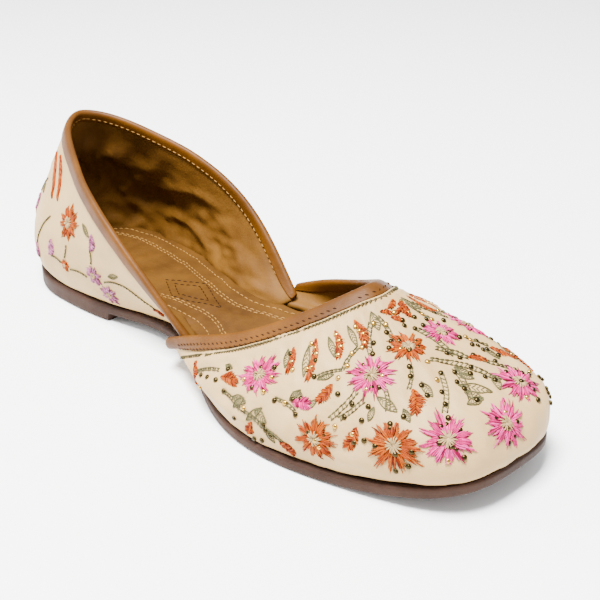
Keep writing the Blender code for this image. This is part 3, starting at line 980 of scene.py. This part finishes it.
# Places in mm. Those well down the near side are repeated on the far side.
STUDS = (
    (23, -40.5, 14), (28, -41.5, 15.5), (24, -41.5, 11), (32.5, -42, 17), (35.5, -39, 21),
    (38, -43.5, 16), (49.5, -45, 15.5), (45, -40, 22), (48.5, -38, 24), (48, -35.5, 26),
    (53, -34, 27.5), (54.5, -36.5, 25.5), (54.5, -40.5, 22), (49.5, -41, 21.5), (60, -41, 21.5),
    (64, -40, 22), (69.5, -40.5, 20.5), (66, -38.5, 23.5), (68.5, -37.5, 24.5), (55, -29, 31.5),
    (57.5, -30.5, 30), (60, -32.5, 29), (59.5, -24, 35), (62, -24.5, 34.5), (64, -25.5, 33.5),
    (65.5, -27.5, 32.5), (65.5, -29.5, 31), (64, -30.5, 30.5), (68, -31, 29.5), (65, -18.5, 38.5),
    (67.5, -19.5, 37.5), (69.5, -20.5, 36.5), (70.5, -23, 35), (68.5, -13.5, 41), (70.5, -14, 40.5),
    (72.5, -14, 40), (75, -16, 38.5), (75.5, -17.5, 37.5), (74, -20.5, 36), (80, -21.5, 34.5),
    (84.5, -19.5, 35), (81, -23.5, 33.5), (84.5, -23.5, 33), (87.5, -21, 34), (89, -24, 32),
    (87, -25.5, 31.5), (86, -26.5, 31), (76, -28, 31), (75.5, -24, 33.5), (79, -31.5, 28),
    (85, -31.5, 27.5), (90, -29.5, 28), (90.5, -33, 25), (85, -35, 24.5), (83.5, -37.5, 21.5),
    (89.5, -36, 21), (91, -36.5, 19), (93.5, -35, 20.5), (82.5, -8.5, 39.5), (86, -4.5, 39),
    (88, -5.5, 38.5), (85, -10.5, 38.5), (87.5, -9, 38), (81, -10.5, 39.5), (82.5, -13, 38.5),
    (91.5, -13.5, 36), (72.5, -9.5, 42), (75.5, -7, 42), (77.5, -9, 40.5), (77.5, -14.5, 39),
    (80, -17.5, 37), (77.5, -1.5, 42), (79.5, -3, 41.5), (78.5, 3, 41.5), (82, -0.5, 40.5),
    (71, 5, 44), (76, 3, 42.5), (74, -1.5, 43.5), (78, 7.5, 41), (80.5, 6.5, 40.5),
    (81, 9, 40), (84, 8.5, 39), (86, 9.5, 38), (88, 7, 38), (88, 9.5, 37.5),
    (91, 11, 36.5), (82.5, 2.5, 40.5), (94.5, 0.5, 36.5), (98, 2.5, 35), (93.5, 13.5, 35.5),
    (96, 11, 35), (97, 12, 34.5), (99, 8, 34.5), (99, 12.5, 34), (102.5, 2.5, 34),
    (101, -3.5, 34), (99, -7.5, 34.5), (100, -11, 34), (94, -8, 36), (102, -17.5, 32),
    (104, -13, 32.5), (107.5, -15.5, 31), (104, -6, 33), (107, -6, 32), (112, -6, 30.5),
    (107.5, 3, 32), (109.5, 6, 31), (104, 0.5, 33), (94, -16, 34.5), (98.5, -16, 33.5),
    (109, 12, 31), (110, 16.5, 30), (111.5, 11, 30.5), (114, 13.5, 29), (115.5, 15, 27.5),
    (118.5, 11, 27), (120.5, 14.5, 25.5), (117, 16, 26.5), (119, -1, 27), (119, -6, 27),
    (123, 0.5, 25), (123, -4.5, 25), (124, -2.5, 21.5), (124, -5.5, 20.5), (111, -21.5, 27.5),
    (112, -20, 28), (115.5, -18, 27), (113, -23.5, 25.5), (113.5, -25, 24.5), (117, -23, 24),
    (118.5, -22.5, 23.5), (117.5, -25, 20.5), (120, -21, 21), (111, -18, 29), (99, -30, 26.5),
    (101, -26.5, 28.5), (99.5, -30.5, 25.5), (108, -30.5, 21.5), (104, -33, 19.5), (104.5, -32.5, 14),
    (108, -31.5, 16.5), (97.5, -34.5, 20), (75.5, -40.5, 17), (78.5, -40.5, 15.5), (81, -39, 18),
    (80, -40.5, 13.5), (46, -45.5, 10.5), (59, -44.5, 13.5), (60, -44.5, 12), (62, -44.5, 11),
    (58, -44.5, 7), (54.5, -45, 6),
)

stud_mesh = bpy.data.meshes.new("studs")
bm = bmesh.new()
for place in STUDS:
    for side in (1, -1) if place[1] < REPEATED_FROM else (1,):
        at, normal, _, _ = VAMP_SKIN.find_nearest(mm(place) * Vector((1, side, 1)))
        turn = normal.to_track_quat("Z", "Y").to_matrix().to_4x4()
        size = Matrix.Diagonal((STUD_RADIUS, STUD_RADIUS, STUD_HEIGHT, 1))
        pose = Matrix.Translation(at + normal * STRAND * STUD_LIFT) @ turn @ size
        made = bmesh.ops.create_uvsphere(bm, u_segments=10, v_segments=6, radius=1, matrix=pose)
        by_topline = GOLD_BACK < place[0] < GOLD_FRONT and place[2] > GOLD_LOW
        bright = int(draw.random() < (1 - BRIGHT_SHARE if by_topline else BRIGHT_SHARE))
        for face in {face for vert in made["verts"] for face in vert.link_faces}:
            face.material_index = bright
            face.smooth = True
bm.to_mesh(stud_mesh)
bm.free()
METALS = (("aged_bronze", BRONZE, BRONZE_ROUGHNESS), ("bright_gold", GOLD, GOLD_ROUGHNESS))
for name, colour, roughness in METALS:
    metal = bpy.data.materials.new(name)
    metal.use_nodes = True
    shader = metal.node_tree.nodes["Principled BSDF"]
    shader.inputs["Base Color"].default_value = (*colour, 1)
    shader.inputs["Metallic"].default_value = 1.0
    shader.inputs["Roughness"].default_value = roughness
    stud_mesh.materials.append(metal)
studs = bpy.data.objects.new("studs", stud_mesh)
bpy.context.scene.collection.objects.link(studs)
finish_piece(studs, None, "cream_leather")

# Embroidery of the quarter
# The same silks without studs: a rounder orange flower, a paler pink one in two parts, buds, and long
# curved leaves under the collar, joined by single stems.
QUARTER_FLOWERS = (
    ("orange", (-72.5, -30.0, 38.0), 8.8, 9),
    ("orange", (-74.0, -33.0, 20.0), 3.0, 6),
    ("mauve", (-55.5, -31.5, 21.5), 5.0, 8),
    ("mauve", (-49.5, -29.0, 14.0), 5.4, 8),
    ("mauve", (-112.0, -22.0, 34.0), 4.6, 8),
    ("orange", (-117.0, -13.0, 22.0), 3.0, 6),
)
QUARTER_LEAVES = (
    ("orange", (-101, -15, 57), (-91, -25, 42), 1.9),
    ("orange", (-94, -18, 58), (-85, -26, 43), 1.9),
    ("mauve", (-84.5, -32.5, 28), (-84.5, -32.5, 21), 4.2),
    ("mauve", (-55, -31.5, 39), (-55.5, -31.5, 32), 4.2),
    ("mauve", (-98, -31, 22), (-98, -31.5, 15), 4.0),
    ("grey", (-62, -30.5, 41), (-57, -31, 37), 2.4),
    ("grey", (-46, -31, 24), (-40, -30.5, 26), 2.2),
    ("orange", (-27, -26, 13), (-23, -25, 11), 2.4),
    ("grey", (-105, -26, 42), (-109, -22, 45), 2.2),
    ("mauve", (-119, -9, 44), (-119, -9, 37), 3.0),
    ("grey", (-113, -19, 20), (-109, -23, 17), 2.2),
)
QUARTER_STEM_BOW = 0.08
QUARTER_STEMS = (
    ((-72.5, -32, 29), (-74, -33, 23), 0.3),
    ((-71, -32.5, 19), (-60, -32, 19), 0.3),
    ((-84, -32.5, 21), (-77, -33, 20), 0.3),
    ((-56, -31.5, 32), (-56, -31.5, 26), 0.3),
    ((-50, -30.5, 20), (-37, -29.5, 22), 0.3),
    ((-37, -29.5, 22), (-26, -26, 13), 0.3),
    ((-98, -31, 22), (-88, -29, 36), 0.3),
    ((-112, -22, 30), (-116, -15, 23), 0.3),
    ((-112, -21, 39), (-105, -24, 48), 0.3),
    ((-115, -17, 37), (-119, -9, 41), 0.3),
)

quarter_work = []
for side in (1, -1):
    turned = Vector((1, side, 1))
    for colour, place, radius, petals in QUARTER_FLOWERS:
        quarter_work += flower(QUARTER_SKIN, colour, mm(place) * turned, radius / 1000, petals)
    for colour, start, end, width in QUARTER_LEAVES:
        start, end = mm(start) * turned, mm(end) * turned
        if colour == "grey":
            quarter_work += outline_leaf(QUARTER_SKIN, start, end, width / 1000)
        else:
            quarter_work += leaf(QUARTER_SKIN, colour, start, end, width / 1000, LEAF_BOW * side)
    for start, end, gap in QUARTER_STEMS:
        start, end = mm(start) * turned, mm(end) * turned
        quarter_work += stem(QUARTER_SKIN, start, end, gap / 1000, QUARTER_STEM_BOW * side)
sew("quarter_embroidery", quarter_work, THREADS, "cream_leather")

# Seam of the heel
# The two halves of the quarter meet at the back in a narrow raised seam with a stitch row on each side.
SEAM_LOW = 0.010
SEAM_HIGH = 0.0655
SEAM_RIDGE = 0.00055
SEAM_POINTS = 40
SEAM_START = 0.001
SEAM_STOP = 0.004
SEAM_ROW = 0.0019
SEAM_SPACING = 0.0024
# Rise, lift and radius along one stitch
SEAM_STITCH = ((0, 0, 0.00015), (0.0008, 0.0002, 0.0002), (0.0016, 0, 0.00015))
BEHIND = -0.14


def heel_spot(aside, height):
    """Place on the back of the heel, and the normal there."""
    place, normal, _, _ = QUARTER_SKIN.ray_cast(Vector((BEHIND, aside, height)), Vector((1, 0, 0)))
    return place, normal


ridge = [heel_spot(0.0, height)[0] for height in np.linspace(SEAM_LOW, SEAM_HIGH, SEAM_POINTS)]
sew("heel_seam_ridge", [(ridge, [SEAM_RIDGE] * len(ridge), 0)], [CREAM], "cream_leather")
heel_rows = []
for aside in (-SEAM_ROW, SEAM_ROW):
    for height in np.arange(SEAM_LOW + SEAM_START, SEAM_HIGH - SEAM_STOP, SEAM_SPACING):
        points = []
        for rise, lift, _ in SEAM_STITCH:
            place, normal = heel_spot(aside, height + rise)
            points.append(place + normal * lift)
        heel_rows.append((points, [radius for _, _, radius in SEAM_STITCH], 0))
sew("heel_seam_stitches", heel_rows, [thread_material("cream_seam_thread", CREAM_LIGHT)], "cream_leather")

# Stitching of the insole
# A row of pale thread follows the sock's edge, with a pair of rows further in. At the waist dark thread
# draws two diamonds, one inside the other.
SOCK_ROWS = (0.0045, 0.0100, 0.0114)
SOCK_STITCH = 0.0017
SOCK_SPACING = 0.0027
SOCK_BACK = -0.113
SOCK_FRONT = 0.075
SOCK_STATIONS = 90
SOCK_DROP = 0.0012
DIAMOND = ((-0.052, 0.0), (-0.036, 0.0085), (-0.016, 0.0), (-0.036, -0.0085), (-0.052, 0.0))
INNER_DIAMOND = 0.62
INNER_SHIFT = 0.0137
SOCK_THREAD = 0.00021
ABOVE = 0.06
BESIDE = 0.08

SOCK_SKIN = whole_skin(insole)


def sock_top(x, y):
    """Place on the sock, and the normal there."""
    place, normal, _, _ = SOCK_SKIN.ray_cast(Vector((x, y, ABOVE)), Vector((0, 0, -1)))
    return place, normal


def sock_edge(x):
    """Half width of the sock at a station."""
    height = sock_top(x, 0.0)[0].z - SOCK_DROP
    return SOCK_SKIN.ray_cast(Vector((x, BESIDE, height)), Vector((0, -1, 0)))[0].y


def dashes(path, stitch, spacing, radius, colour):
    """Short stitches along a path drawn on the sock from above."""
    run = np.concatenate([[0], np.cumsum([math.dist(a, b) for a, b in zip(path, path[1:])])])
    xs, ys = [point[0] for point in path], [point[1] for point in path]
    row = []
    for at in np.arange(0, run[-1] - stitch, spacing):
        points = []
        for gone, lift in ((0, 0), (stitch / 2, radius * 0.8), (stitch, 0)):
            place, normal = sock_top(np.interp(at + gone, run, xs), np.interp(at + gone, run, ys))
            points.append(place + normal * lift)
        row.append((points, (radius * 0.8, radius, radius * 0.8), colour))
    return row


sock_rows = []
stations = np.linspace(SOCK_BACK, SOCK_FRONT, SOCK_STATIONS)
for inset in SOCK_ROWS:
    right = [(x, sock_edge(x) - inset) for x in stations]
    heel = [(x, -y) for x, y in reversed(right)]
    sock_rows += dashes(heel + right, SOCK_STITCH, SOCK_SPACING, SOCK_THREAD, 1)
inner = [(x * INNER_DIAMOND - INNER_SHIFT, y * INNER_DIAMOND) for x, y in DIAMOND]
for path in (DIAMOND, inner):
    sock_rows += dashes(path, SOCK_STITCH, SOCK_SPACING, SOCK_THREAD, 0)
sew("sock_seams", sock_rows, SEAM_THREADS, "insole")

# Floor, light and camera
# A plain white sweep lies under the shoe. One soft light hangs above it and a little to the near side, and
# a wider and weaker one stands on the left.
CAMERA_PLACE = Vector((0.26853, -0.22749, 0.20108))
CAMERA_AIM = Vector((0.0155, 0.0125, 0.0215))
LENS = 63.0
CLIP_START = 0.01
FLOOR_HALF = 4.0
WHITE = 0.92
WHITE_ROUGHNESS = 0.9
ROOM_LIGHT = 1.25

bm = bmesh.new()
bmesh.ops.create_grid(bm, x_segments=1, y_segments=1, size=FLOOR_HALF)
floor_mesh = bpy.data.meshes.new("floor")
bm.to_mesh(floor_mesh)
bm.free()
floor = bpy.data.objects.new("floor", floor_mesh)
bpy.context.scene.collection.objects.link(floor)
white = bpy.data.materials.new("white_sweep")
white.use_nodes = True
shader = white.node_tree.nodes["Principled BSDF"]
shader.inputs["Base Color"].default_value = (WHITE, WHITE, WHITE, 1)
shader.inputs["Roughness"].default_value = WHITE_ROUGHNESS
floor_mesh.materials.append(white)

world = bpy.data.worlds.new("studio")
bpy.context.scene.world = world
world.use_nodes = True
world.node_tree.nodes["Background"].inputs["Color"].default_value = (1, 1, 1, 1)
world.node_tree.nodes["Background"].inputs["Strength"].default_value = ROOM_LIGHT


def soft_light(name, place, aim, size, power):
    """A square lamp that faces its aim."""
    lamp = bpy.data.lights.new(name, "AREA")
    lamp.shape = "SQUARE"
    lamp.size = size
    lamp.energy = power
    light = bpy.data.objects.new(name, lamp)
    bpy.context.scene.collection.objects.link(light)
    light.location = place
    light.rotation_euler = (Vector(aim) - Vector(place)).to_track_quat("-Z", "Y").to_euler()


soft_light("key", place=(0.06, -0.28, 1.08), aim=(0, 0, 0.02), size=0.42, power=82)
soft_light("side", place=(-0.8, -0.6, 0.5), aim=(0, 0, 0.03), size=0.8, power=11)

camera_data = bpy.data.cameras.new("camera")
camera_data.lens = LENS
camera = bpy.data.objects.new("camera", camera_data)
bpy.context.scene.collection.objects.link(camera)
camera.location = CAMERA_PLACE
camera.rotation_euler = (CAMERA_AIM - CAMERA_PLACE).to_track_quat("-Z", "Y").to_euler()
camera_data.clip_start = CLIP_START
bpy.context.scene.camera = camera
